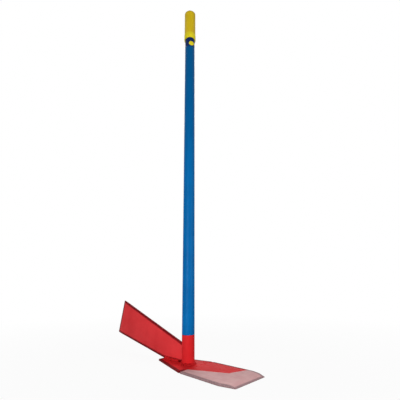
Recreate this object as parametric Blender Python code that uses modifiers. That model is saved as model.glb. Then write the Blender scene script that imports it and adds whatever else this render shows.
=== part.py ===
"""A long-handled grubbing tool: a flat hoe blade and an upright cutter blade on one tubular handle.

Metres, +Z up the handle. The origin is on the handle's axis, in the underside of the base plate.
+X points along the hoe blade, and the tool is symmetric about the XZ plane apart from the cap's peg.
"""

import math

import bmesh
import bpy
from mathutils import Matrix, Vector

# Handle and socket: one outside diameter, joined by a spigot inside them
TUBE_DIAMETER = 0.030
TUBE_WALL = 0.0020
TOOL_HEIGHT = 1.050
SOCKET_HEIGHT = 0.062
SPIGOT_WALL = 0.0020
SPIGOT_REACH = 0.055

# Cap on the top of the handle
CAP_LENGTH = 0.116
CAP_WALL = 0.0022
CAP_CROWN = 0.009
CAP_BAND_HEIGHT = 0.020
CAP_BAND_STEP = 0.0006

# Peg that locks the cap's end of the tube
PEG_DIAMETER = 0.013
PEG_DROP = 0.023
PEG_TURN = math.radians(-25)
PEG_PROUD = 0.0016
PEG_DEPTH = 0.012
# The head's crown bends at this share of its radius, after this share of its fall
PEG_BEND_RADIUS = 0.6
PEG_BEND_FALL = 0.2

# Base plate and hoe blade, one thickness of steel
PLATE_THICKNESS = 0.004
SEAM_X = 0.029
HOE_REACH = 0.174
HOE_ROOT_WIDTH = 0.107
HOE_WIDEST_X = 0.140
HOE_WIDEST_WIDTH = 0.113
HOE_EDGE_WIDTH = 0.096
HOE_GRIND = 0.016
EDGE_THICKNESS = 0.0008
TAIL_REACH = 0.087
TAIL_WIDTH = 0.035
CORNER_RADIUS = 0.002

# Cutter blade, standing on the base plate's tail
CUTTER_THICKNESS = 0.004
CUTTER_ROOT_HEIGHT = 0.041
CUTTER_REACH = 0.310
CUTTER_LOWER_TIP_HEIGHT = 0.038
CUTTER_EDGE_LENGTH = 0.094
CUTTER_EDGE_LEAN = math.radians(14)
CUTTER_GRIND = 0.014
RELIEF_NOTCH = 0.009

# Fillet welds
WELD_LEG = 0.005
SEAM_WELD_WIDTH = 0.003
WELD_CROWN = 0.12

CLEARANCE = 0.0003
ROUND_STEPS = 48
ARC_STEPS = 4

TUBE_RADIUS = TUBE_DIAMETER / 2
TUBE_BORE = TUBE_RADIUS - TUBE_WALL
SOCKET_FOOT = PLATE_THICKNESS + CLEARANCE
SOCKET_TOP = PLATE_THICKNESS + SOCKET_HEIGHT
HANDLE_FOOT = SOCKET_TOP + CLEARANCE
CAP_BORE = TUBE_RADIUS + CLEARANCE
CAP_RADIUS = CAP_BORE + CAP_WALL
CAP_RIM = TOOL_HEIGHT - CAP_LENGTH
CAP_CEILING = TOOL_HEIGHT - CAP_CROWN
HANDLE_TOP = CAP_CEILING - CLEARANCE


def clear_scene():
    for thing in list(bpy.data.objects):
        bpy.data.objects.remove(thing, do_unlink=True)


def new_collection(name):
    collection = bpy.data.collections.new(name)
    bpy.context.scene.collection.children.link(collection)
    return collection


def painted(name, colour, roughness, metallic):
    material = bpy.data.materials.new(name)
    material.use_nodes = True
    shader = material.node_tree.nodes["Principled BSDF"]
    shader.inputs["Base Color"].default_value = (*colour, 1.0)
    shader.inputs["Roughness"].default_value = roughness
    shader.inputs["Metallic"].default_value = metallic
    return material


def add_object(name, data, material, collection):
    thing = bpy.data.objects.new(name, data)
    thing.data.materials.append(material)
    collection.objects.link(thing)
    return thing


def turned(name, profile, material, collection, closed=True):
    """Turn a profile of (radius, height) points about the handle's axis."""
    shape = bmesh.new()
    corners = [shape.verts.new((radius, 0, height)) for radius, height in profile]
    for first, second in zip(corners, corners[1:]):
        shape.edges.new((first, second))
    if closed:
        shape.edges.new((corners[-1], corners[0]))
    mesh = bpy.data.meshes.new(name)
    shape.to_mesh(mesh)
    shape.free()
    thing = add_object(name, mesh, material, collection)
    screw = thing.modifiers.new("turn", "SCREW")
    screw.steps = ROUND_STEPS
    screw.render_steps = ROUND_STEPS
    screw.use_merge_vertices = True
    screw.merge_threshold = 0.00001
    screw.use_smooth_shade = True
    return thing


def sleeve(name, outer, inner, foot, top, material, collection):
    """A plain length of tube."""
    profile = [(outer, top), (outer, foot), (inner, foot), (inner, top)]
    return turned(name, profile, material, collection)


def rounded(corners, radius):
    """The outline through these corners, each one eased by an arc of this radius."""
    outline = []
    for index, corner in enumerate(corners):
        before = (corners[index - 1] - corner).normalized()
        after = (corners[(index + 1) % len(corners)] - corner).normalized()
        half_angle = before.angle(after) / 2
        setback = radius / math.tan(half_angle)
        centre = corner + (before + after).normalized() * (radius / math.sin(half_angle))
        start = corner + before * setback - centre
        sweep = start.angle_signed(corner + after * setback - centre)
        for step in range(ARC_STEPS + 1):
            turn = Matrix.Rotation(-sweep * step / ARC_STEPS, 2)
            outline.append(centre + turn @ start)
    return outline


def plate(name, outline, thickness, place, material, collection):
    """A flat outline of the given thickness, centred on its plane and set in its place."""
    curve = bpy.data.curves.new(name, "CURVE")
    curve.dimensions = "2D"
    curve.fill_mode = "BOTH"
    curve.extrude = thickness / 2
    spline = curve.splines.new("POLY")
    spline.points.add(len(outline) - 1)
    for point, spot in zip(spline.points, outline):
        point.co = (spot[0], spot[1], 0, 1)
    spline.use_cyclic_u = True
    sketch = bpy.data.objects.new(name + "_sketch", curve)
    collection.objects.link(sketch)
    depsgraph = bpy.context.evaluated_depsgraph_get()
    mesh = bpy.data.meshes.new_from_object(sketch.evaluated_get(depsgraph))
    bpy.data.objects.remove(sketch, do_unlink=True)
    shape = bmesh.new()
    shape.from_mesh(mesh)
    bmesh.ops.remove_doubles(shape, verts=shape.verts, dist=0.00001)
    bmesh.ops.recalc_face_normals(shape, faces=shape.faces)
    bmesh.ops.transform(shape, matrix=place, verts=shape.verts)
    shape.to_mesh(mesh)
    shape.free()
    mesh.name = name
    mesh.materials.clear()
    return add_object(name, mesh, material, collection)


def wedge_cutter(name, size, place, collection):
    """A block that grinds a slope on a blade's edge."""
    shape = bmesh.new()
    bmesh.ops.create_cube(shape, size=1.0)
    bmesh.ops.scale(shape, vec=size, verts=shape.verts)
    bmesh.ops.transform(shape, matrix=place, verts=shape.verts)
    mesh = bpy.data.meshes.new(name)
    shape.to_mesh(mesh)
    shape.free()
    block = bpy.data.objects.new(name, mesh)
    collection.objects.link(block)
    block.hide_render = True
    block.display_type = "WIRE"
    return block


def cut(thing, cutter):
    boolean = thing.modifiers.new("cut_" + cutter.name, "BOOLEAN")
    boolean.operation = "DIFFERENCE"
    boolean.solver = "EXACT"
    boolean.object = cutter


def grind(thing, name, edge, along, outward, face, width, drop, cutters):
    """Slope one face of a blade down towards its edge.

    edge is the middle of the edge on that face, along runs with the edge, outward leaves the blade
    at the edge, face is the face's normal, width the length of the slope and drop its fall.
    """
    slope = (outward * width - face * drop).normalized()
    normal = along.cross(slope).normalized()
    if normal.dot(face) < 0:
        normal = -normal
    side = normal.cross(slope).normalized()
    block = max(HOE_WIDEST_WIDTH, CUTTER_EDGE_LENGTH) * 2
    start = edge - outward * width
    centre = start + normal * block / 2
    turn = Matrix((slope, side, normal)).transposed().to_4x4()
    cutter = wedge_cutter(name, (block, block, block), Matrix.Translation(centre) @ turn, cutters)
    cut(thing, cutter)


def make_handle(parts, looks):
    sleeve("handle_tube", TUBE_RADIUS, TUBE_BORE, HANDLE_FOOT, HANDLE_TOP, looks["blue"], parts)
    sleeve("socket_tube", TUBE_RADIUS, TUBE_BORE, SOCKET_FOOT, SOCKET_TOP, looks["red"], parts)
    spigot_radius = TUBE_BORE - CLEARANCE
    sleeve("spigot", spigot_radius, spigot_radius - SPIGOT_WALL, SOCKET_FOOT,
           SOCKET_TOP + SPIGOT_REACH, looks["steel"], parts)


def make_cap(parts, looks):
    """A domed cap pushed over the tube, with a raised band round its mouth."""
    band_radius = CAP_RADIUS + CAP_BAND_STEP
    band_top = CAP_RIM + CAP_BAND_HEIGHT
    profile = []
    for step in range(ARC_STEPS * 2 + 1):
        angle = math.pi / 2 * step / (ARC_STEPS * 2)
        flat = CAP_RADIUS - CAP_CROWN
        swell = CAP_CROWN * math.sin(angle)
        profile.append((flat * step / (ARC_STEPS * 2) + swell, CAP_CEILING + CAP_CROWN * math.cos(angle)))
    profile += [(CAP_RADIUS, band_top + CAP_BAND_STEP), (band_radius, band_top), (band_radius, CAP_RIM),
                (CAP_BORE, CAP_RIM), (CAP_BORE, CAP_CEILING), (0, CAP_CEILING)]
    turned("end_cap", profile, looks["yellow"], parts, closed=False)


def make_plates(parts, cutters, looks):
    """The base plate under the socket, and the hoe blade in front of it."""
    level = Matrix.Translation((0, 0, PLATE_THICKNESS / 2))
    seam_gap = SEAM_WELD_WIDTH / 2 + CLEARANCE
    seam_half = HOE_ROOT_WIDTH / 2
    base_corners = [Vector((SEAM_X - seam_gap, -seam_half)), Vector((SEAM_X - seam_gap, seam_half)),
                    Vector((-TAIL_REACH, TAIL_WIDTH / 2)), Vector((-TAIL_REACH, -TAIL_WIDTH / 2))]
    plate("base_plate", rounded(base_corners, CORNER_RADIUS), PLATE_THICKNESS, level, looks["red"], parts)

    edge_half = HOE_EDGE_WIDTH / 2
    widest_half = HOE_WIDEST_WIDTH / 2
    hoe_corners = [Vector((SEAM_X + seam_gap, -seam_half)), Vector((HOE_WIDEST_X, -widest_half)),
                   Vector((HOE_REACH, -edge_half)), Vector((HOE_REACH, edge_half)),
                   Vector((HOE_WIDEST_X, widest_half)), Vector((SEAM_X + seam_gap, seam_half))]
    hoe = plate("hoe_blade", rounded(hoe_corners, CORNER_RADIUS), PLATE_THICKNESS, level,
                looks["worn"], parts)
    edge = Vector((HOE_REACH, 0, PLATE_THICKNESS))
    grind(hoe, "hoe_grind", edge, Vector((0, 1, 0)), Vector((1, 0, 0)), Vector((0, 0, 1)),
          HOE_GRIND, PLATE_THICKNESS - EDGE_THICKNESS, cutters)


def cutter_corners():
    """The cutter's outline in the XZ plane, from the root's notch round to its upper root corner."""
    foot = PLATE_THICKNESS + CLEARANCE
    root = -(TUBE_RADIUS + CLEARANCE)
    lower_tip = Vector((-CUTTER_REACH, PLATE_THICKNESS + CUTTER_LOWER_TIP_HEIGHT))
    lean = Vector((math.sin(CUTTER_EDGE_LEAN), math.cos(CUTTER_EDGE_LEAN)))
    return [Vector((root, foot + RELIEF_NOTCH)), Vector((root - RELIEF_NOTCH, foot)),
            Vector((-TAIL_REACH, foot)), lower_tip, lower_tip + lean * CUTTER_EDGE_LENGTH,
            Vector((root, PLATE_THICKNESS + CUTTER_ROOT_HEIGHT))]


def make_cutter(parts, cutters, looks):
    """The upright blade, ground from both faces to a centred edge."""
    corners = cutter_corners()
    upright = Matrix.Rotation(math.pi / 2, 4, "X")
    blade = plate("cutter_blade", rounded(corners, CORNER_RADIUS), CUTTER_THICKNESS, upright,
                  looks["red"], parts)
    middle = (corners[3] + corners[4]) / 2
    rise = (corners[4] - corners[3]).normalized()
    along = Vector((rise.x, 0, rise.y))
    outward = Vector((-rise.y, 0, rise.x))
    for label, side in (("near", -1), ("far", 1)):
        face = Vector((0, side, 0))
        edge = Vector((middle.x, side * CUTTER_THICKNESS / 2, middle.y))
        grind(blade, "cutter_grind_" + label, edge, along, outward, face,
              CUTTER_GRIND, (CUTTER_THICKNESS - EDGE_THICKNESS) / 2, cutters)


def fillet(leg, start_x, start_y, turn_y):
    """A fillet weld's section: two legs from an inside corner and a slightly crowned face."""
    section = [Vector((start_x, start_y))]
    for step in range(ARC_STEPS + 1):
        share = step / ARC_STEPS
        crown = 4 * WELD_CROWN * share * (1 - share) * leg
        section.append(Vector((start_x + leg * (1 - share) + crown,
                               start_y + turn_y * (leg * share + crown))))
    return section


def make_ring_weld(parts, looks):
    """The bead all round the foot of the socket."""
    inside = TUBE_RADIUS + CLEARANCE
    foot = PLATE_THICKNESS + CLEARANCE
    section = fillet(WELD_LEG, inside, foot, 1)
    profile = [(point.x, point.y) for point in reversed(section)]
    turned("weld_socket_base", profile, looks["red"], parts)


def make_seam_weld(parts, looks):
    """The flush seam between the base plate and the hoe blade."""
    half_width = SEAM_WELD_WIDTH / 2
    half_length = HOE_ROOT_WIDTH / 2 - CORNER_RADIUS
    outline = [Vector((SEAM_X - half_width, -half_length)), Vector((SEAM_X + half_width, -half_length)),
               Vector((SEAM_X + half_width, half_length)), Vector((SEAM_X - half_width, half_length))]
    level = Matrix.Translation((0, 0, PLATE_THICKNESS / 2))
    plate("weld_hoe_base", outline, PLATE_THICKNESS, level, looks["red"], parts)


def make_tail_welds(parts, looks):
    """A bead on each side of the cutter's foot, along the base plate's tail."""
    start = -(TUBE_RADIUS + RELIEF_NOTCH + WELD_LEG)
    length = TAIL_REACH - CORNER_RADIUS - WELD_LEG + start
    middle = start - length / 2
    inside = CUTTER_THICKNESS / 2 + CLEARANCE
    for label, side in (("near", -1), ("far", 1)):
        section = fillet(WELD_LEG, inside, PLATE_THICKNESS + CLEARANCE, 1)
        outline = [Vector((side * point.x, point.y)) for point in section]
        place = Matrix.Translation((middle, 0, 0)) @ Matrix(
            ((0, 0, 1, 0), (1, 0, 0, 0), (0, 1, 0, 0), (0, 0, 0, 1)))
        plate("weld_cutter_base_" + label, outline, length, place, looks["red"], parts)


def make_root_welds(parts, looks):
    """A bead on each side of the cutter's root, up the socket."""
    foot = PLATE_THICKNESS + WELD_LEG + RELIEF_NOTCH
    top = PLATE_THICKNESS + CUTTER_ROOT_HEIGHT - WELD_LEG
    inside_y = CUTTER_THICKNESS / 2 + CLEARANCE
    seat = TUBE_RADIUS + CLEARANCE
    first = math.asin(inside_y / seat)
    span = WELD_LEG / seat
    for label, side in (("near", -1), ("far", 1)):
        wall = []
        for step in range(ARC_STEPS + 1):
            angle = first + span * step / ARC_STEPS
            wall.append(Vector((-seat * math.cos(angle), side * seat * math.sin(angle))))
        toe = wall[0] + Vector((-WELD_LEG, 0))
        crown = (toe + wall[-1]) / 2 + Vector((-1, side)).normalized() * WELD_CROWN * WELD_LEG
        outline = wall + [crown, toe]
        place = Matrix.Translation((0, 0, (foot + top) / 2))
        plate("weld_cutter_socket_" + label, outline, top - foot, place, looks["red"], parts)


def make_peg(parts, cutters, looks):
    """A round-headed peg through one wall of the tube, just below the cap."""
    height = CAP_RIM - PEG_DROP
    radial = Vector((math.cos(PEG_TURN), math.sin(PEG_TURN), 0))
    turn = radial.to_track_quat("Z", "Y").to_matrix().to_4x4()
    place = Matrix.Translation(Vector((0, 0, height))) @ turn
    radius = PEG_DIAMETER / 2
    outer = TUBE_RADIUS + PEG_PROUD
    inner = TUBE_RADIUS - PEG_DEPTH
    profile = [(0, outer), (radius * PEG_BEND_RADIUS, outer - PEG_PROUD * PEG_BEND_FALL),
               (radius, outer - PEG_PROUD), (radius, inner), (0, inner)]
    peg = turned("cap_peg", profile, looks["yellow"], parts, closed=False)
    peg.matrix_world = place
    drill = turned("peg_drill", [(0, TUBE_DIAMETER), (radius + CLEARANCE, TUBE_DIAMETER),
                                 (radius + CLEARANCE, 0), (0, 0)], looks["blue"], cutters, closed=False)
    drill.matrix_world = place
    drill.hide_render = True
    drill.display_type = "WIRE"
    cut(bpy.data.objects["handle_tube"], drill)


def main():
    clear_scene()
    parts = new_collection("grubbing_hoe")
    cutters = new_collection("cutters")
    looks = {
        "blue": painted("blue_powder_coat", (0.004, 0.135, 0.402), 0.4, 0.0),
        "red": painted("red_enamel", (0.604, 0.012, 0.015), 0.4, 0.0),
        "worn": painted("worn_red_enamel", (0.500, 0.250, 0.250), 0.45, 0.0),
        "yellow": painted("yellow_moulding", (0.577, 0.402, 0.021), 0.45, 0.0),
        "steel": painted("plain_steel", (0.40, 0.40, 0.41), 0.35, 1.0),
    }
    make_handle(parts, looks)
    make_cap(parts, looks)
    make_peg(parts, cutters, looks)
    make_plates(parts, cutters, looks)
    make_cutter(parts, cutters, looks)
    make_ring_weld(parts, looks)
    make_seam_weld(parts, looks)
    make_tail_welds(parts, looks)
    make_root_welds(parts, looks)


main()
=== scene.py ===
"""Finishes, studio and camera for a long-handled grubbing hoe with a cutter blade."""

import math

import bmesh
import bpy
from mathutils import Matrix, Vector


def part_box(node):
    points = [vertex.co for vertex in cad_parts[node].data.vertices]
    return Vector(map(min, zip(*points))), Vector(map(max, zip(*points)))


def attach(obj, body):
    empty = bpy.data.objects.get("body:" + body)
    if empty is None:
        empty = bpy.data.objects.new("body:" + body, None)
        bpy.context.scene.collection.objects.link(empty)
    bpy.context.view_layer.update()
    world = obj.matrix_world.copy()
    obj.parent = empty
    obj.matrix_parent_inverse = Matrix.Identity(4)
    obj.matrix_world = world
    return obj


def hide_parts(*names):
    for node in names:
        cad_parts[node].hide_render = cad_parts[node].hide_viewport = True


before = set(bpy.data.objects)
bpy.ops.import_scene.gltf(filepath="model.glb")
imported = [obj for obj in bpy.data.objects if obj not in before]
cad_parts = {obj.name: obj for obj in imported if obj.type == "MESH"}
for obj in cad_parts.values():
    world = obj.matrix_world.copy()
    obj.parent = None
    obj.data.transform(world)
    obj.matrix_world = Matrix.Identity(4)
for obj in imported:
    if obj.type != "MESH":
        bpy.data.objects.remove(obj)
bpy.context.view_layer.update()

MM = 0.001
PHOTO_SIZE = 400

# The photograph's camera, in the tool's own frame
FOCAL_PIXELS = 284.6
SENSOR_WIDTH = 36.0
CAMERA_DISTANCE = 0.7364
CAMERA_HEIGHT = 0.180
CAMERA_TURN = math.radians(45.7)
CAMERA_PITCH = math.radians(16.48)
CAMERA_ROLL = math.radians(0.327)
POLE_PIXEL_X = 188.08
CAMERA_CLIP = 10 * MM

# Studio: the surroundings as light, and each softbox's place, aim, width and power in watts
WORLD_LIGHT = 0.16
SOFTBOXES = {
    "main_softbox": ((0.40, -1.07, 0.35), (0, 0, 0.35), 0.5, 10.5),
    "right_softbox": ((1.25, 0.30, 0.45), (0, 0, 0.30), 0.6, 7),
    "rear_softbox": ((-0.90, 0.90, 1.70), (0, 0, 0.2), 0.8, 19),
}
FLOOR_SIZE = 20.0
FLOOR_GLOW = 0.95
FLOOR_GLOW_START = 0.3
FLOOR_GLOW_END = 1.2

# Sizes read from the frame
HANDLE_LOW, HANDLE_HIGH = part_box("handle_tube")
SOCKET_LOW, SOCKET_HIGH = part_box("socket_tube")
CAP_LOW, CAP_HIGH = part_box("end_cap")
PEG_LOW, PEG_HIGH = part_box("cap_peg")
RING_LOW, RING_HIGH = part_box("weld_socket_base")
SEAM_LOW, SEAM_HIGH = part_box("weld_hoe_base")
TUBE_RADIUS = (HANDLE_HIGH.x - HANDLE_LOW.x) / 2
CAP_RADIUS = (CAP_HIGH.x - CAP_LOW.x) / 2

# Sizes of the pieces that the frame's boxes don't give
TUBE_WALL = 2.0 * MM
TUBE_EASE = 0.5 * MM
CAP_WALL = 2.2 * MM
CAP_BAND = 20 * MM
CAP_BAND_STEP = 0.6 * MM
CAP_CROWN = 9 * MM
CAP_EASE = 1.2 * MM
CAP_KNEE = 0.3 * CAP_EASE
BAND_KNEE = 0.4 * CAP_BAND_STEP
PEG_HEAD = 8.0 * MM
PEG_DOME = 1.3 * MM
PEG_HEAD_DEPTH = 4.2 * MM
PLATE_EASE = 0.5 * MM
PLATE_EASE_STEPS = 2
ROUND_STEPS = 96
ARC_STEPS = 8
BEAD_CROWN = 0.48
RIPPLE_PITCH = 2.2 * MM
RIPPLE_STEPS = 4
RIPPLE_DEPTH = 0.10
MERGE_GAP = 0.01 * MM
SHARP_ANGLE = math.radians(35)
FLAT_ANGLE = math.radians(1)

# Where the painted highlight starts on the hoe blade, with plain enamel behind it: a line across its top
# that turns once
HIGHLIGHT_LINE = (
    Vector((27 * MM, -34 * MM, 0)),
    Vector((114 * MM, 7.5 * MM, 0)),
    Vector((129 * MM, 57 * MM, 0)),
)
HIGHLIGHT_BLUR = 0.8 * MM
HIGHLIGHT_RAG = 5 * MM

# Dark bands along the plates' cut sides: painted shade on the sides, and enamel thin and chipped there
EDGE_SHADE_AND_WEAR_BAND = 7.0 * MM
CHIP_SIZE = 4 * MM
CHIP_LOW, CHIP_HIGH = 0.25, 0.5
CHIP_LEAST = 0.7

# What counts as a plate's cut side: its area, and how its normal leans, faces the root or repeats another
SIDE_AREA = 20 * MM * MM
SIDE_LEAN = 0.1
ROOT_FACING = -0.5
SAME_FACING = 0.999

# Dark welding scale round the near end of the hoe's seam
SEAM_SCALE_LENGTH = 20 * MM
SEAM_SCALE_WIDTH = 6 * MM

# Where the handle turns darker towards its top, the collar of painted shade below its cap, and the darker
# ring on the cap's crown
UPPER_DARK_LOW = 250 * MM
UPPER_DARK_HIGH = 800 * MM
SHADE_COLLAR_LENGTH = 38 * MM
SHADE_COLLAR_FADE = 8 * MM
CAP_SHOULDER_FADE = 4 * MM
CAP_SHOULDER_SHARE = 0.65
CAP_SHOULDER_INNER = 0.6 * CAP_RADIUS
CAP_SHOULDER_OUTER = 0.8 * CAP_RADIUS

# Sizes of the patterns in the finishes, across a lump, scuff or line. Real orange peel is about 1 mm across,
# and real scratches, draw lines and skins are finer. They are drawn this coarse so that they show up close
COAT_CLOUD = 70 * MM
COAT_PEEL = 1.5 * MM
SCUFF_WIDTH = 2.5 * MM
ENAMEL_CLOUD = 45 * MM
ENAMEL_PATCH = 12 * MM
ENAMEL_PEEL = 1.8 * MM
WELD_PATCH = 6 * MM
WELD_SKIN = 1.2 * MM
HIGHLIGHT_CLOUD = 22 * MM
SCRATCH_WIDTH = 1.6 * MM
PLASTIC_CLOUD = 30 * MM
PLASTIC_SKIN = 0.9 * MM
RUB_WIDTH = 3 * MM
DRAW_WIDTH = 0.8 * MM

# How much each pattern is squeezed along its run, which draws its lumps out into lines
SCUFF_SQUEEZE = 0.03
SCRATCH_SQUEEZE = 0.04
FLOW_SQUEEZE = 0.3
RUB_SQUEEZE = 0.1
DRAW_SQUEEZE = 0.02

# Depths of the patterns that stand out of the surface, and how strongly they show
COAT_PEEL_DEPTH = 0.05 * MM
ENAMEL_PEEL_DEPTH = 0.06 * MM
WELD_SKIN_DEPTH = 0.1 * MM
SCRATCH_DEPTH = 0.05 * MM
PLASTIC_SKIN_DEPTH = 0.03 * MM
BUMP_STRENGTH = 0.5
SCRATCH_STRENGTH = 0.4

# The noise's detail, the levels between which each pattern sets in, and the most that it covers
DETAIL = 3.0
CLOUD_LOW, CLOUD_HIGH = 0.35, 0.7
COAT_CLOUD_HIGH = 0.65
PATCH_LOW, PATCH_HIGH = 0.3, 0.7
SCUFF_LOW, SCUFF_HIGH, SCUFF_SHARE = 0.66, 0.74, 0.45
SCUFF_ROUGH_HIGH = 0.8
SCRATCH_LOW, SCRATCH_HIGH, SCRATCH_SHARE = 0.58, 0.72, 0.5
RUB_LOW, RUB_HIGH, RUB_SHARE = 0.62, 0.75, 0.4

# Gloss of the finishes: roughness from the smoothest places to the roughest, and the shader's own levels
COAT_SMOOTH, COAT_ROUGH = 0.36, 0.55
ENAMEL_SMOOTH, ENAMEL_ROUGH = 0.48, 0.6
WELD_SMOOTH, WELD_ROUGH = 0.45, 0.6
STEEL_SMOOTH, STEEL_ROUGH = 0.5, 0.65
PLASTIC_SMOOTH, PLASTIC_ROUGH = 0.4, 0.5
DRAWN_SMOOTH, DRAWN_ROUGH = 0.3, 0.45
SATIN_SPECULAR = 0.05
BLADE_SPECULAR = 0.06
POLYETHYLENE_IOR = 1.51

# The colour Mix node's sockets, whose names repeat on the node
SHARE, FIRST, SECOND, MIXED = 0, 6, 7, 2

# Colours as they are seen, in sRGB
BLUE_COAT = "#0068ac"
BLUE_COAT_DEEP = "#005c9c"
BLUE_COAT_PALE = "#1c80bc"
BLUE_COAT_UPPER = "#00568f"
# Painted shade below the cap
BLUE_PAINTED_SHADE = "#07265c"
RED_ENAMEL = "#d22529"
RED_ENAMEL_DEEP = "#c62024"
# A lighter enamel for the cutter: painted light, standing in for light on its face
RED_ENAMEL_PAINTED_LIT = "#e43c40"
RED_ENAMEL_PAINTED_LIT_DEEP = "#d83438"
RED_WELD = "#bc1c20"
RED_WELD_DEEP = "#9c1014"
# Dark red: painted shade and thin enamel along cut sides, and weld scale by the seam
RED_SHADE_WEAR_AND_SCALE = "#6d060e"
# Painted highlight on the hoe blade's top: pale pinkish grey, with paler clouds and darker streaks
HOE_PAINTED_HIGHLIGHT = "#ca9c9c"
HOE_PAINTED_HIGHLIGHT_PALE = "#d2aaa8"
HOE_PAINTED_HIGHLIGHT_STREAK = "#b48a8a"
HIGHLIGHT_EDGE_SHADE_AND_WEAR = "#927678"
YELLOW_PLASTIC = "#eaca20"
YELLOW_PLASTIC_DEEP = "#d6b41c"
YELLOW_BAND = "#ecda28"
YELLOW_SHOULDER_DARK = "#75640f"
SPIGOT_STEEL = "#8d8f92"
SPIGOT_STEEL_DARK = "#6d6f73"
PALE_FLOOR = "#a6a6a6"
WHITE = "#ffffff"


def linear(colour):
    """An sRGB hex colour as linear red, green, blue and alpha."""
    channels = [int(colour[index:index + 2], 16) / 255 for index in (1, 3, 5)]
    return tuple(c / 12.92 if c <= 0.04045 else ((c + 0.055) / 1.055) ** 2.4 for c in channels) + (1.0,)


def add(tree, kind, inputs=None, output=0, **properties):
    """Add a node with its properties and inputs, link the inputs that are sockets, and give one output."""
    node = tree.nodes.new(kind)
    for name, value in properties.items():
        setattr(node, name, value)
    for name, value in (inputs or {}).items():
        if isinstance(value, bpy.types.NodeSocket):
            tree.links.new(value, node.inputs[name])
        else:
            node.inputs[name].default_value = value
    return node.outputs[output] if node.outputs else None


def new_material(name):
    """An empty material, with its shader and the piece's own coordinates."""
    material = bpy.data.materials.new(name)
    material.use_nodes = True
    tree = material.node_tree
    tree.nodes.clear()
    surface = add(tree, "ShaderNodeBsdfPrincipled")
    add(tree, "ShaderNodeOutputMaterial", {"Surface": surface})
    place = add(tree, "ShaderNodeTexCoord", output="Object")
    return material, tree, surface.node, place


def frame_reach(node, direction):
    """The least and greatest reach of a CAD node along a direction from the origin."""
    reaches = [vert.co.dot(direction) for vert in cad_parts[node].data.vertices]
    return min(reaches), max(reaches)


def cut_sides(node, flat_axis, outward):
    """A plate's straight cut sides, apart from the one at its root: outward normals and their reach."""
    sides = []
    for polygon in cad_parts[node].data.polygons:
        normal = polygon.normal.copy()
        upright = abs(normal.dot(flat_axis)) < SIDE_LEAN
        at_root = normal.dot(outward) < ROOT_FACING
        known = any(normal.dot(side) > SAME_FACING for side, reach in sides)
        if upright and polygon.area > SIDE_AREA and not at_root and not known:
            sides.append((normal, frame_reach(node, normal)[1]))
    return sides


def edge_shade_and_wear_share(tree, place, sides):
    """How near the surface is to the nearest of these cut sides, for the painted shade and thin enamel
    there: 1 at the side, 0 past a chipped band.
    """
    nearest = None
    for normal, reach in sides:
        out = add(tree, "ShaderNodeVectorMath", {0: place, 1: normal}, "Value", operation="DOT_PRODUCT")
        inset = add(tree, "ShaderNodeMath", {0: reach, 1: out}, operation="SUBTRACT")
        if nearest is not None:
            inset = add(tree, "ShaderNodeMath", {0: nearest, 1: inset}, operation="MINIMUM")
        nearest = inset
    near = add(tree, "ShaderNodeMapRange", {"Value": nearest, "From Min": EDGE_SHADE_AND_WEAR_BAND,
                                            "From Max": EDGE_SHADE_AND_WEAR_BAND / 2})
    chip = add(tree, "ShaderNodeTexNoise", {"Vector": place, "Scale": 1 / CHIP_SIZE, "Detail": DETAIL})
    kept = add(tree, "ShaderNodeMapRange", {"Value": chip, "From Min": CHIP_LOW, "From Max": CHIP_HIGH,
                                            "To Min": CHIP_LEAST})
    return add(tree, "ShaderNodeMath", {0: near, 1: kept}, operation="MULTIPLY")


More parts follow.
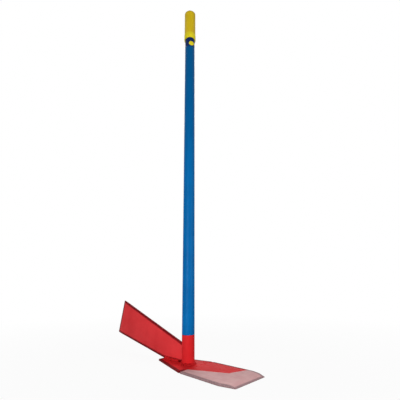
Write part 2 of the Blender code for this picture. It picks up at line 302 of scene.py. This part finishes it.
def blue_powder_coat():
    """Powder coat baked on a steel tube: a satin skin with fine orange peel, scuffed along its length."""
    material, tree, shader, place = new_material("blue_powder_coat")
    cloud = add(tree, "ShaderNodeTexNoise", {"Vector": place, "Scale": 1 / COAT_CLOUD, "Detail": DETAIL})
    clouded = add(tree, "ShaderNodeMapRange", {"Value": cloud, "From Min": CLOUD_LOW,
                                               "From Max": COAT_CLOUD_HIGH})
    colour = add(tree, "ShaderNodeMix", {SHARE: clouded, FIRST: linear(BLUE_COAT),
                                         SECOND: linear(BLUE_COAT_DEEP)}, MIXED, data_type="RGBA")

    drawn_out = add(tree, "ShaderNodeMapping", {"Vector": place, "Scale": (1, 1, SCUFF_SQUEEZE)})
    scuff = add(tree, "ShaderNodeTexNoise", {"Vector": drawn_out, "Scale": 1 / SCUFF_WIDTH,
                                             "Detail": DETAIL})
    scuffed = add(tree, "ShaderNodeMapRange", {"Value": scuff, "From Min": SCUFF_LOW, "From Max": SCUFF_HIGH,
                                               "To Max": SCUFF_SHARE})
    colour = add(tree, "ShaderNodeMix", {SHARE: scuffed, FIRST: colour,
                                         SECOND: linear(BLUE_COAT_PALE)}, MIXED, data_type="RGBA")

    # Darker towards the top of the handle
    height = add(tree, "ShaderNodeSeparateXYZ", {"Vector": place}, "Z")
    upper_dark = add(tree, "ShaderNodeMapRange", {"Value": height, "From Min": UPPER_DARK_LOW,
                                               "From Max": UPPER_DARK_HIGH})
    colour = add(tree, "ShaderNodeMix", {SHARE: upper_dark, FIRST: colour,
                                         SECOND: linear(BLUE_COAT_UPPER)}, MIXED, data_type="RGBA")
    # Painted shade: a dark navy collar below the cap, where the cap's shadow falls on the tube
    darkening = add(tree, "ShaderNodeMapRange", {"Value": height, "From Min": CAP_LOW.z - SHADE_COLLAR_LENGTH,
                                             "From Max": CAP_LOW.z - SHADE_COLLAR_LENGTH + SHADE_COLLAR_FADE})
    colour = add(tree, "ShaderNodeMix", {SHARE: darkening, FIRST: colour, SECOND: linear(BLUE_PAINTED_SHADE)}, MIXED,
                 data_type="RGBA")

    rough = add(tree, "ShaderNodeMapRange", {"Value": scuff, "From Min": PATCH_LOW,
                                             "From Max": SCUFF_ROUGH_HIGH, "To Min": COAT_SMOOTH,
                                             "To Max": COAT_ROUGH})
    peel = add(tree, "ShaderNodeTexNoise", {"Vector": place, "Scale": 1 / COAT_PEEL, "Detail": DETAIL})
    bump = add(tree, "ShaderNodeBump", {"Height": peel, "Distance": COAT_PEEL_DEPTH,
                                        "Strength": BUMP_STRENGTH})
    tree.links.new(colour, shader.inputs["Base Color"])
    tree.links.new(rough, shader.inputs["Roughness"])
    tree.links.new(bump, shader.inputs["Normal"])
    shader.inputs["Specular IOR Level"].default_value = SATIN_SPECULAR
    return material


def enamel_colour(tree, place, tones, sides=()):
    """Sprayed enamel: even, a little clouded, and dark along a plate's cut sides, with painted shade there
    and the enamel thin.
    """
    cloud = add(tree, "ShaderNodeTexNoise", {"Vector": place, "Scale": 1 / ENAMEL_CLOUD, "Detail": DETAIL})
    clouded = add(tree, "ShaderNodeMapRange", {"Value": cloud, "From Min": CLOUD_LOW,
                                               "From Max": CLOUD_HIGH})
    colour = add(tree, "ShaderNodeMix", {SHARE: clouded, FIRST: linear(tones[0]),
                                         SECOND: linear(tones[1])}, MIXED, data_type="RGBA")
    if sides:
        colour = add(tree, "ShaderNodeMix", {SHARE: edge_shade_and_wear_share(tree, place, sides), FIRST: colour,
                                             SECOND: linear(RED_SHADE_WEAR_AND_SCALE)}, MIXED, data_type="RGBA")
    return colour


def seam_scaled(tree, place, colour):
    """A colour, with the dark scale that welding left round the near end of the hoe's seam."""
    reach = add(tree, "ShaderNodeSeparateXYZ", {"Vector": place}).node.outputs
    middle = (SEAM_LOW.x + SEAM_HIGH.x) / 2
    aside = add(tree, "ShaderNodeMath", {0: reach["X"], 1: middle}, operation="SUBTRACT")
    apart = add(tree, "ShaderNodeMath", {0: aside}, operation="ABSOLUTE")
    near_seam = add(tree, "ShaderNodeMapRange", {"Value": apart, "From Min": SEAM_SCALE_WIDTH,
                                                 "From Max": SEAM_SCALE_WIDTH / 2})
    near_end = add(tree, "ShaderNodeMapRange", {"Value": reach["Y"],
                                                "From Min": SEAM_LOW.y + SEAM_SCALE_LENGTH,
                                                "From Max": SEAM_LOW.y + SEAM_SCALE_LENGTH / 2})
    scale = add(tree, "ShaderNodeMath", {0: near_seam, 1: near_end}, operation="MULTIPLY")
    return add(tree, "ShaderNodeMix", {SHARE: scale, FIRST: colour, SECOND: linear(RED_SHADE_WEAR_AND_SCALE)}, MIXED,
               data_type="RGBA")


def red_enamel(name, tones=(RED_ENAMEL, RED_ENAMEL_DEEP), sides=(), seamed=False):
    """Enamel sprayed on welded steel: satin, with a light orange peel, and dark scale by the seam."""
    material, tree, shader, place = new_material(name)
    colour = enamel_colour(tree, place, tones, sides)
    if seamed:
        colour = seam_scaled(tree, place, colour)
    patch = add(tree, "ShaderNodeTexNoise", {"Vector": place, "Scale": 1 / ENAMEL_PATCH, "Detail": DETAIL})
    rough = add(tree, "ShaderNodeMapRange", {"Value": patch, "From Min": PATCH_LOW, "From Max": PATCH_HIGH,
                                             "To Min": ENAMEL_SMOOTH, "To Max": ENAMEL_ROUGH})
    peel = add(tree, "ShaderNodeTexNoise", {"Vector": place, "Scale": 1 / ENAMEL_PEEL, "Detail": DETAIL})
    bump = add(tree, "ShaderNodeBump", {"Height": peel, "Distance": ENAMEL_PEEL_DEPTH,
                                        "Strength": BUMP_STRENGTH})
    tree.links.new(colour, shader.inputs["Base Color"])
    tree.links.new(rough, shader.inputs["Roughness"])
    tree.links.new(bump, shader.inputs["Normal"])
    shader.inputs["Specular IOR Level"].default_value = SATIN_SPECULAR
    return material


def weld_enamel():
    """Enamel over a weld bead: a deeper, clouded red with a coarser skin."""
    material, tree, shader, place = new_material("weld_enamel")
    colour = enamel_colour(tree, place, (RED_WELD, RED_WELD_DEEP))
    patch = add(tree, "ShaderNodeTexNoise", {"Vector": place, "Scale": 1 / WELD_PATCH, "Detail": DETAIL})
    rough = add(tree, "ShaderNodeMapRange", {"Value": patch, "From Min": PATCH_LOW, "From Max": PATCH_HIGH,
                                             "To Min": WELD_SMOOTH, "To Max": WELD_ROUGH})
    skin = add(tree, "ShaderNodeTexNoise", {"Vector": place, "Scale": 1 / WELD_SKIN, "Detail": DETAIL})
    bump = add(tree, "ShaderNodeBump", {"Height": skin, "Distance": WELD_SKIN_DEPTH,
                                        "Strength": BUMP_STRENGTH})
    tree.links.new(colour, shader.inputs["Base Color"])
    tree.links.new(rough, shader.inputs["Roughness"])
    tree.links.new(bump, shader.inputs["Normal"])
    shader.inputs["Specular IOR Level"].default_value = SATIN_SPECULAR
    return material


def unhighlighted_share(tree, place):
    """1 behind the line across the blade's top, where the enamel is plain, and 0 in front of it, in the
    painted highlight, ragged.
    """
    rag = add(tree, "ShaderNodeTexNoise", {"Vector": place, "Scale": 1 / HIGHLIGHT_RAG, "Detail": DETAIL})
    ragged = add(tree, "ShaderNodeMapRange", {"Value": rag, "From Min": PATCH_LOW, "From Max": PATCH_HIGH,
                                              "To Min": -HIGHLIGHT_BLUR, "To Max": HIGHLIGHT_BLUR})
    behind_line = None
    for start, end in zip(HIGHLIGHT_LINE, HIGHLIGHT_LINE[1:]):
        run = (end - start).normalized()
        behind = Vector((-run.y, run.x, 0))
        offset = start.dot(behind)
        reach = add(tree, "ShaderNodeVectorMath", {0: place, 1: behind}, "Value", operation="DOT_PRODUCT")
        past = add(tree, "ShaderNodeMath", {0: reach, 1: ragged}, operation="ADD")
        half = add(tree, "ShaderNodeMapRange", {"Value": past, "From Min": offset - HIGHLIGHT_BLUR,
                                                "From Max": offset + HIGHLIGHT_BLUR})
        if behind_line is not None:
            half = add(tree, "ShaderNodeMath", {0: behind_line, 1: half}, operation="MINIMUM")
        behind_line = half
    return behind_line


def worn_blade(sides):
    """Steel plate with a pale pinkish-grey painted highlight in front of a line across its top, and plain
    red enamel behind that line.
    """
    material, tree, shader, place = new_material("worn_blade")
    # The painted highlight: pale pinkish grey, clouded and streaked
    cloud = add(tree, "ShaderNodeTexNoise", {"Vector": place, "Scale": 1 / HIGHLIGHT_CLOUD, "Detail": DETAIL})
    clouded = add(tree, "ShaderNodeMapRange", {"Value": cloud, "From Min": CLOUD_LOW,
                                               "From Max": CLOUD_HIGH})
    steel = add(tree, "ShaderNodeMix", {SHARE: clouded, FIRST: linear(HOE_PAINTED_HIGHLIGHT),
                                        SECOND: linear(HOE_PAINTED_HIGHLIGHT_PALE)}, MIXED, data_type="RGBA")
    drawn_out = add(tree, "ShaderNodeMapping", {"Vector": place, "Scale": (SCRATCH_SQUEEZE, 1, 1)})
    scratch = add(tree, "ShaderNodeTexNoise", {"Vector": drawn_out, "Scale": 1 / SCRATCH_WIDTH,
                                               "Detail": DETAIL})
    scratched = add(tree, "ShaderNodeMapRange", {"Value": scratch, "From Min": SCRATCH_LOW,
                                                 "From Max": SCRATCH_HIGH, "To Max": SCRATCH_SHARE})
    steel = add(tree, "ShaderNodeMix", {SHARE: scratched, FIRST: steel,
                                        SECOND: linear(HOE_PAINTED_HIGHLIGHT_STREAK)}, MIXED, data_type="RGBA")
    # Painted shade and thin, worn coating along the blade's cut sides
    steel = add(tree, "ShaderNodeMix", {SHARE: edge_shade_and_wear_share(tree, place, sides), FIRST: steel,
                                        SECOND: linear(HIGHLIGHT_EDGE_SHADE_AND_WEAR)}, MIXED, data_type="RGBA")

    enamel = enamel_colour(tree, place, (RED_ENAMEL, RED_ENAMEL_DEEP), sides)
    # Plain enamel behind the line, painted highlight in front of it
    colour = add(tree, "ShaderNodeMix", {SHARE: unhighlighted_share(tree, place), FIRST: steel,
                                         SECOND: enamel}, MIXED, data_type="RGBA")
    rough = add(tree, "ShaderNodeMapRange", {"Value": scratch, "From Min": PATCH_LOW, "From Max": PATCH_HIGH,
                                             "To Min": STEEL_SMOOTH, "To Max": STEEL_ROUGH})
    bump = add(tree, "ShaderNodeBump", {"Height": scratch, "Distance": SCRATCH_DEPTH,
                                        "Strength": SCRATCH_STRENGTH})
    tree.links.new(seam_scaled(tree, place, colour), shader.inputs["Base Color"])
    tree.links.new(rough, shader.inputs["Roughness"])
    tree.links.new(bump, shader.inputs["Normal"])
    shader.inputs["Specular IOR Level"].default_value = BLADE_SPECULAR
    return material


def yellow_polyethylene():
    """Moulded polyethylene: a soft sheen, faint flow clouds, a lighter band, and a darker ring round the
    shoulder.
    """
    material, tree, shader, place = new_material("yellow_polyethylene")
    flow = add(tree, "ShaderNodeMapping", {"Vector": place, "Scale": (1, 1, FLOW_SQUEEZE)})
    cloud = add(tree, "ShaderNodeTexNoise", {"Vector": flow, "Scale": 1 / PLASTIC_CLOUD, "Detail": DETAIL})
    clouded = add(tree, "ShaderNodeMapRange", {"Value": cloud, "From Min": CLOUD_LOW,
                                               "From Max": CLOUD_HIGH})
    colour = add(tree, "ShaderNodeMix", {SHARE: clouded, FIRST: linear(YELLOW_PLASTIC),
                                         SECOND: linear(YELLOW_PLASTIC_DEEP)}, MIXED, data_type="RGBA")
    drawn_out = add(tree, "ShaderNodeMapping", {"Vector": place, "Scale": (1, 1, RUB_SQUEEZE)})
    rub = add(tree, "ShaderNodeTexNoise", {"Vector": drawn_out, "Scale": 1 / RUB_WIDTH, "Detail": DETAIL})
    rubbed = add(tree, "ShaderNodeMapRange", {"Value": rub, "From Min": RUB_LOW, "From Max": RUB_HIGH,
                                              "To Max": RUB_SHARE})
    colour = add(tree, "ShaderNodeMix", {SHARE: rubbed, FIRST: colour,
                                         SECOND: linear(YELLOW_PLASTIC_DEEP)}, MIXED, data_type="RGBA")

    height = add(tree, "ShaderNodeSeparateXYZ", {"Vector": place}, "Z")
    # A lighter band round the cap's mouth
    band_top = CAP_LOW.z + CAP_BAND
    band = add(tree, "ShaderNodeMapRange", {"Value": height, "From Min": band_top + CAP_EASE,
                                            "From Max": band_top})
    colour = add(tree, "ShaderNodeMix", {SHARE: band, FIRST: colour, SECOND: linear(YELLOW_BAND)}, MIXED,
                 data_type="RGBA")
    # A darker ring round the crown's shoulder
    crown_foot = CAP_HIGH.z - CAP_CROWN
    shoulder = add(tree, "ShaderNodeMapRange", {"Value": height, "From Min": crown_foot - CAP_SHOULDER_FADE,
                                                "From Max": crown_foot, "To Max": CAP_SHOULDER_SHARE})
    level_place = add(tree, "ShaderNodeMapping", {"Vector": place, "Scale": (1, 1, 0)})
    radius = add(tree, "ShaderNodeVectorMath", {0: level_place}, "Value", operation="LENGTH")
    outside = add(tree, "ShaderNodeMapRange", {"Value": radius, "From Min": CAP_SHOULDER_INNER,
                                               "From Max": CAP_SHOULDER_OUTER})
    darkening = add(tree, "ShaderNodeMath", {0: shoulder, 1: outside}, operation="MULTIPLY")
    colour = add(tree, "ShaderNodeMix", {SHARE: darkening, FIRST: colour, SECOND: linear(YELLOW_SHOULDER_DARK)}, MIXED,
                 data_type="RGBA")

    rough = add(tree, "ShaderNodeMapRange", {"Value": rub, "From Min": PATCH_LOW, "From Max": PATCH_HIGH,
                                             "To Min": PLASTIC_SMOOTH, "To Max": PLASTIC_ROUGH})
    skin = add(tree, "ShaderNodeTexNoise", {"Vector": place, "Scale": 1 / PLASTIC_SKIN, "Detail": DETAIL})
    bump = add(tree, "ShaderNodeBump", {"Height": skin, "Distance": PLASTIC_SKIN_DEPTH,
                                        "Strength": BUMP_STRENGTH})
    tree.links.new(colour, shader.inputs["Base Color"])
    tree.links.new(rough, shader.inputs["Roughness"])
    tree.links.new(bump, shader.inputs["Normal"])
    shader.inputs["IOR"].default_value = POLYETHYLENE_IOR
    shader.inputs["Specular IOR Level"].default_value = SATIN_SPECULAR
    return material


def drawn_steel():
    """Cold-drawn steel tube: bare grey metal with fine lines along its length."""
    material, tree, shader, place = new_material("drawn_steel")
    drawn_out = add(tree, "ShaderNodeMapping", {"Vector": place, "Scale": (1, 1, DRAW_SQUEEZE)})
    lines = add(tree, "ShaderNodeTexNoise", {"Vector": drawn_out, "Scale": 1 / DRAW_WIDTH,
                                             "Detail": DETAIL})
    lined = add(tree, "ShaderNodeMapRange", {"Value": lines, "From Min": PATCH_LOW, "From Max": PATCH_HIGH})
    colour = add(tree, "ShaderNodeMix", {SHARE: lined, FIRST: linear(SPIGOT_STEEL),
                                         SECOND: linear(SPIGOT_STEEL_DARK)}, MIXED, data_type="RGBA")
    rough = add(tree, "ShaderNodeMapRange", {"Value": lines, "From Min": PATCH_LOW, "From Max": PATCH_HIGH,
                                             "To Min": DRAWN_SMOOTH, "To Max": DRAWN_ROUGH})
    tree.links.new(colour, shader.inputs["Base Color"])
    tree.links.new(rough, shader.inputs["Roughness"])
    shader.inputs["Metallic"].default_value = 1.0
    return material


def finish_piece(shape, name, node, material):
    """Turn a bmesh into a smooth-shaded piece that stands for a CAD node."""
    mesh = bpy.data.meshes.new(name)
    shape.to_mesh(mesh)
    shape.free()
    mesh.materials.append(material)
    mesh.shade_smooth()
    mesh.set_sharp_from_angle(angle=SHARP_ANGLE)
    piece = bpy.data.objects.new(name, mesh)
    bpy.context.scene.collection.objects.link(piece)
    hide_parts(node)
    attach(piece, "root")


def spun(profile, steps=ROUND_STEPS, closed=False):
    """Spin a profile of (radius, height) points round the handle's axis."""
    shape = bmesh.new()
    corners = [shape.verts.new((radius, 0, height)) for radius, height in profile]
    edges = [shape.edges.new(pair) for pair in zip(corners, corners[1:])]
    if closed:
        edges.append(shape.edges.new((corners[-1], corners[0])))
    bmesh.ops.spin(shape, geom=corners + edges, cent=(0, 0, 0), axis=(0, 0, 1), angle=2 * math.pi,
                   steps=steps, use_merge=True)
    bmesh.ops.remove_doubles(shape, verts=shape.verts, dist=MERGE_GAP)
    bmesh.ops.recalc_face_normals(shape, faces=shape.faces)
    return shape


def sleeve(low, high):
    """A length of tube between two heights, with its outer ends eased."""
    eased = TUBE_RADIUS - TUBE_EASE
    inner = TUBE_RADIUS - TUBE_WALL
    profile = [
        (eased, high),
        (TUBE_RADIUS, high - TUBE_EASE),
        (TUBE_RADIUS, low + TUBE_EASE),
        (eased, low),
        (inner, low),
        (inner, high),
    ]
    return spun(profile, closed=True)


def make_tubes(blue, red):
    """The handle, and the socket that it stands on."""
    handle = sleeve(HANDLE_LOW.z, HANDLE_HIGH.z)
    finish_piece(handle, "handle_tube_coated", "handle_tube", blue)
    socket = sleeve(SOCKET_LOW.z, SOCKET_HIGH.z)
    finish_piece(socket, "socket_tube_enamelled", "socket_tube", red)


def make_cap(yellow):
    """The cap: a domed crown, a straight skirt and a raised band round its mouth."""
    skirt = CAP_RADIUS - CAP_BAND_STEP
    bore = skirt - CAP_WALL
    band_top = CAP_LOW.z + CAP_BAND
    ceiling = CAP_HIGH.z - CAP_CROWN
    profile = []
    for step in range(ARC_STEPS + 1):
        angle = math.pi / 2 * step / ARC_STEPS
        flat = (skirt - CAP_CROWN) * step / ARC_STEPS
        profile.append((flat + CAP_CROWN * math.sin(angle), ceiling + CAP_CROWN * math.cos(angle)))
    profile += [
        (skirt, band_top + CAP_EASE),
        (skirt + BAND_KNEE, band_top + CAP_KNEE),
        (CAP_RADIUS, band_top - CAP_EASE / 2),
        (CAP_RADIUS, CAP_LOW.z + CAP_EASE),
        (CAP_RADIUS - CAP_KNEE, CAP_LOW.z + CAP_KNEE),
        (CAP_RADIUS - CAP_EASE, CAP_LOW.z),
        (bore, CAP_LOW.z),
        (bore, ceiling),
        (0, ceiling),
    ]
    finish_piece(spun(profile), "end_cap_moulded", "end_cap", yellow)


def make_peg(yellow):
    """The peg: a low domed head that sits down on the tube, on a round shank through its wall."""
    middle = (PEG_LOW + PEG_HIGH) / 2
    outward = Vector((middle.x, middle.y, 0)).normalized()
    shank = (PEG_HIGH.z - PEG_LOW.z) / 2
    inner, outer = frame_reach("cap_peg", outward)
    profile = []
    for step in range(ARC_STEPS + 1):
        angle = math.pi / 2 * step / ARC_STEPS
        profile.append((PEG_HEAD * math.sin(angle), outer - PEG_DOME * (1 - math.cos(angle))))
    head_foot = outer - PEG_HEAD_DEPTH
    profile += [(PEG_HEAD, head_foot), (shank, head_foot), (shank, inner), (0, inner)]
    shape = spun(profile, steps=ROUND_STEPS // 2)
    turn = outward.to_track_quat("Z", "Y").to_matrix().to_4x4()
    place = Matrix.Translation((0, 0, middle.z)) @ turn
    bmesh.ops.transform(shape, matrix=place, verts=shape.verts)
    finish_piece(shape, "cap_peg_moulded", "cap_peg", yellow)


def eased_plate(name, node, material):
    """A copy of a plate or flush seam with its flat faces made whole and its edges rounded."""
    shape = bmesh.new()
    shape.from_mesh(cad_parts[node].data)
    bmesh.ops.remove_doubles(shape, verts=shape.verts, dist=MERGE_GAP)
    bmesh.ops.dissolve_limit(shape, angle_limit=FLAT_ANGLE, verts=shape.verts, edges=shape.edges)
    sharp = [edge for edge in shape.edges if edge.calc_face_angle(0) > SHARP_ANGLE]
    bmesh.ops.bevel(shape, geom=sharp, offset=PLATE_EASE, offset_type="OFFSET", segments=PLATE_EASE_STEPS,
                    profile=0.5, affect="EDGES", material=-1, clamp_overlap=True)
    bmesh.ops.triangulate(shape, faces=[face for face in shape.faces if len(face.verts) > 4])
    finish_piece(shape, name, node, material)


def bead_section(leg):
    """A weld bead's section from its inside corner: two legs and a crowned face."""
    face = []
    for step in range(ARC_STEPS + 1):
        share = step / ARC_STEPS
        crown = BEAD_CROWN * share * (1 - share) * leg
        face.append(Vector((leg * (1 - share) + crown, leg * share + crown)))
    return face


def ripple(along):
    """The scale of a bead at a distance along it: overlapping puddles, each one a small scallop."""
    return 1 - RIPPLE_DEPTH * (1 - abs(math.sin(math.pi * along / RIPPLE_PITCH)))


def make_ring_weld(red):
    """The bead round the socket's foot, rippled by the torch's steps."""
    corner = Vector((TUBE_RADIUS, RING_LOW.z))
    leg = RING_HIGH.z - RING_LOW.z
    section = [corner] + [corner + point / (1 + RIPPLE_DEPTH) for point in bead_section(leg)]
    length = 2 * math.pi * (TUBE_RADIUS + leg / 2)
    puddles = round(length / RIPPLE_PITCH)
    shape = spun([(point.x, point.y) for point in section], steps=puddles * RIPPLE_STEPS, closed=True)
    for vert in shape.verts:
        around = math.atan2(vert.co.y, vert.co.x) / (2 * math.pi) * puddles * RIPPLE_PITCH
        outward = Vector((vert.co.x, vert.co.y, 0)).normalized()
        root = outward * corner.x + Vector((0, 0, corner.y))
        vert.co = root + (vert.co - root) * ripple(around)
    finish_piece(shape, "weld_socket_base_rippled", "weld_socket_base", red)


def make_bead(node, corner, first_leg, second_leg, along, red):
    """A straight rippled bead from an inside corner, with its two legs and its run as vectors."""
    shape = bmesh.new()
    step_count = round(along.length / RIPPLE_PITCH) * RIPPLE_STEPS
    section = [corner] + [corner + first_leg * point.x + second_leg * point.y
                          for point in bead_section(1 / (1 + RIPPLE_DEPTH))]
    face = shape.faces.new([shape.verts.new(point) for point in section])
    for _ in range(step_count):
        section_geometry = [face, *face.edges, *face.verts]
        grown = bmesh.ops.extrude_face_region(shape, geom=section_geometry)["geom"]
        face = next(item for item in grown if isinstance(item, bmesh.types.BMFace))
        bmesh.ops.translate(shape, vec=along / step_count, verts=face.verts)
    direction = along.normalized()
    for vert in shape.verts:
        distance = (vert.co - corner).dot(direction)
        root = corner + direction * distance
        vert.co = root + (vert.co - root) * ripple(distance)
    bmesh.ops.recalc_face_normals(shape, faces=shape.faces)
    finish_piece(shape, node + "_rippled", node, red)


def make_straight_welds(red):
    """The beads on both sides of the cutter, along its foot and up the socket."""
    for label, side in (("near", -1), ("far", 1)):
        node = "weld_cutter_base_" + label
        low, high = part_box(node)
        inside, outside = (high.y, low.y) if side < 0 else (low.y, high.y)
        make_bead(node, Vector((low.x, inside, low.z)), Vector((0, outside - inside, 0)),
                  Vector((0, 0, high.z - low.z)), Vector((high.x - low.x, 0, 0)), red)
        node = "weld_cutter_socket_" + label
        low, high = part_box(node)
        inside, outside = (high.y, low.y) if side < 0 else (low.y, high.y)
        seat = -math.sqrt(TUBE_RADIUS ** 2 - inside ** 2)
        toe = -math.sqrt(TUBE_RADIUS ** 2 - outside ** 2)
        make_bead(node, Vector((seat, inside, low.z)), Vector((low.x - seat, 0, 0)),
                  Vector((toe - seat, outside - inside, 0)), Vector((0, 0, high.z - low.z)), red)


def seen_share(tree):
    """1 for what the eye sees, directly, in a reflection or through glass, and 0 for light."""
    rays = add(tree, "ShaderNodeLightPath").node.outputs
    direct = add(tree, "ShaderNodeMath", {0: rays["Is Camera Ray"], 1: rays["Is Glossy Ray"]},
                 operation="MAXIMUM")
    return add(tree, "ShaderNodeMath", {0: direct, 1: rays["Is Transmission Ray"]}, operation="MAXIMUM")


def stage_material():
    """A pale floor, white to the eye, that keeps a soft shadow near the tool and fades out past it."""
    material = bpy.data.materials.new("pale_floor")
    material.use_nodes = True
    tree = material.node_tree
    tree.nodes.clear()
    matt = add(tree, "ShaderNodeBsdfDiffuse", {"Color": linear(PALE_FLOOR)})
    glow = add(tree, "ShaderNodeEmission", {"Color": linear(WHITE), "Strength": 1.0})
    place = add(tree, "ShaderNodeTexCoord", output="Object")
    away = add(tree, "ShaderNodeVectorMath", {0: place}, "Value", operation="LENGTH")
    share = add(tree, "ShaderNodeMapRange", {"Value": away, "From Min": FLOOR_GLOW_START,
                                             "From Max": FLOOR_GLOW_END, "To Min": FLOOR_GLOW})
    white = add(tree, "ShaderNodeMixShader", {0: share, 1: matt, 2: glow})
    shown = add(tree, "ShaderNodeMixShader", {0: seen_share(tree), 1: matt, 2: white})
    add(tree, "ShaderNodeOutputMaterial", {"Surface": shown})
    return material


def make_stage():
    """The floor that the tool stands on."""
    shape = bmesh.new()
    bmesh.ops.create_grid(shape, x_segments=1, y_segments=1, size=FLOOR_SIZE)
    mesh = bpy.data.meshes.new("pale_floor")
    shape.to_mesh(mesh)
    shape.free()
    mesh.materials.append(stage_material())
    floor = bpy.data.objects.new("pale_floor", mesh)
    bpy.context.scene.collection.objects.link(floor)


def make_world():
    """Even white surroundings: plain white to the eye, softer as light."""
    world = bpy.data.worlds.new("studio")
    bpy.context.scene.world = world
    world.use_nodes = True
    tree = world.node_tree
    tree.nodes.clear()
    strength = add(tree, "ShaderNodeMapRange", {"Value": seen_share(tree), "To Min": WORLD_LIGHT})
    glow = add(tree, "ShaderNodeBackground", {"Color": linear(WHITE), "Strength": strength})
    add(tree, "ShaderNodeOutputWorld", {"Surface": glow})


def add_softbox(name, place, aim, width, power):
    """A square softbox that lights the tool and stays out of the picture."""
    data = bpy.data.lights.new(name, "AREA")
    data.size = width
    data.energy = power
    lamp = bpy.data.objects.new(name, data)
    bpy.context.scene.collection.objects.link(lamp)
    lamp.visible_camera = False
    lamp.location = place
    lamp.rotation_euler = (Vector(aim) - Vector(place)).to_track_quat("-Z", "Y").to_euler()


def set_camera():
    """The camera at the photograph's place, turned about the handle, tipped up and rolled a little."""
    data = bpy.data.cameras.new("photo_camera")
    data.sensor_width = SENSOR_WIDTH
    data.lens = SENSOR_WIDTH * FOCAL_PIXELS / PHOTO_SIZE
    data.clip_start = CAMERA_CLIP
    camera = bpy.data.objects.new("photo_camera", data)
    bpy.context.scene.collection.objects.link(camera)
    bpy.context.scene.camera = camera
    across = Vector((math.sin(CAMERA_TURN), math.cos(CAMERA_TURN), 0))
    away = Vector((-math.cos(CAMERA_TURN), math.sin(CAMERA_TURN), 0))
    forward = away * math.cos(CAMERA_PITCH) + Vector((0, 0, math.sin(CAMERA_PITCH)))
    level_up = -away * math.sin(CAMERA_PITCH) + Vector((0, 0, math.cos(CAMERA_PITCH)))
    right = across * math.cos(CAMERA_ROLL) - level_up * math.sin(CAMERA_ROLL)
    up = level_up * math.cos(CAMERA_ROLL) + across * math.sin(CAMERA_ROLL)
    depth = CAMERA_DISTANCE * math.cos(CAMERA_PITCH)
    offset = (PHOTO_SIZE / 2 - POLE_PIXEL_X) / FOCAL_PIXELS * depth
    place = -away * CAMERA_DISTANCE + across * offset + Vector((0, 0, CAMERA_HEIGHT))
    turn = Matrix((right, up, -forward)).transposed()
    camera.matrix_world = Matrix.Translation(place) @ turn.to_4x4()


def main():
    """Set up the studio, then finish each piece of the tool."""
    level = Vector((0, 0, 1))
    across = Vector((0, 1, 0))
    ahead = Vector((1, 0, 0))
    set_camera()
    make_stage()
    make_world()
    for name, setting in SOFTBOXES.items():
        add_softbox(name, *setting)

    yellow = yellow_polyethylene()
    make_tubes(blue_powder_coat(), red_enamel("red_enamel"))
    make_cap(yellow)
    make_peg(yellow)
    base_red = red_enamel("red_enamel_base", sides=cut_sides("base_plate", level, -ahead), seamed=True)
    eased_plate("base_plate_enamelled", "base_plate", base_red)
    highlighted = worn_blade(cut_sides("hoe_blade", level, ahead))
    eased_plate("hoe_blade_painted_highlight", "hoe_blade", highlighted)
    # The cutter's enamel is painted lighter: painted light on its face
    cutter_lit_red = red_enamel("red_enamel_cutter_painted_light", (RED_ENAMEL_PAINTED_LIT, RED_ENAMEL_PAINTED_LIT_DEEP),
                            cut_sides("cutter_blade", across, -ahead))
    eased_plate("cutter_blade_enamelled", "cutter_blade", cutter_lit_red)
    seam_red = red_enamel("red_enamel_seam", seamed=True)
    eased_plate("weld_hoe_base_flush", "weld_hoe_base", seam_red)
    weld_red = weld_enamel()
    make_ring_weld(weld_red)
    make_straight_welds(weld_red)
    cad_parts["spigot"].material_slots[0].material = drawn_steel()
    bpy.context.scene.view_settings.view_transform = "Standard"


main()
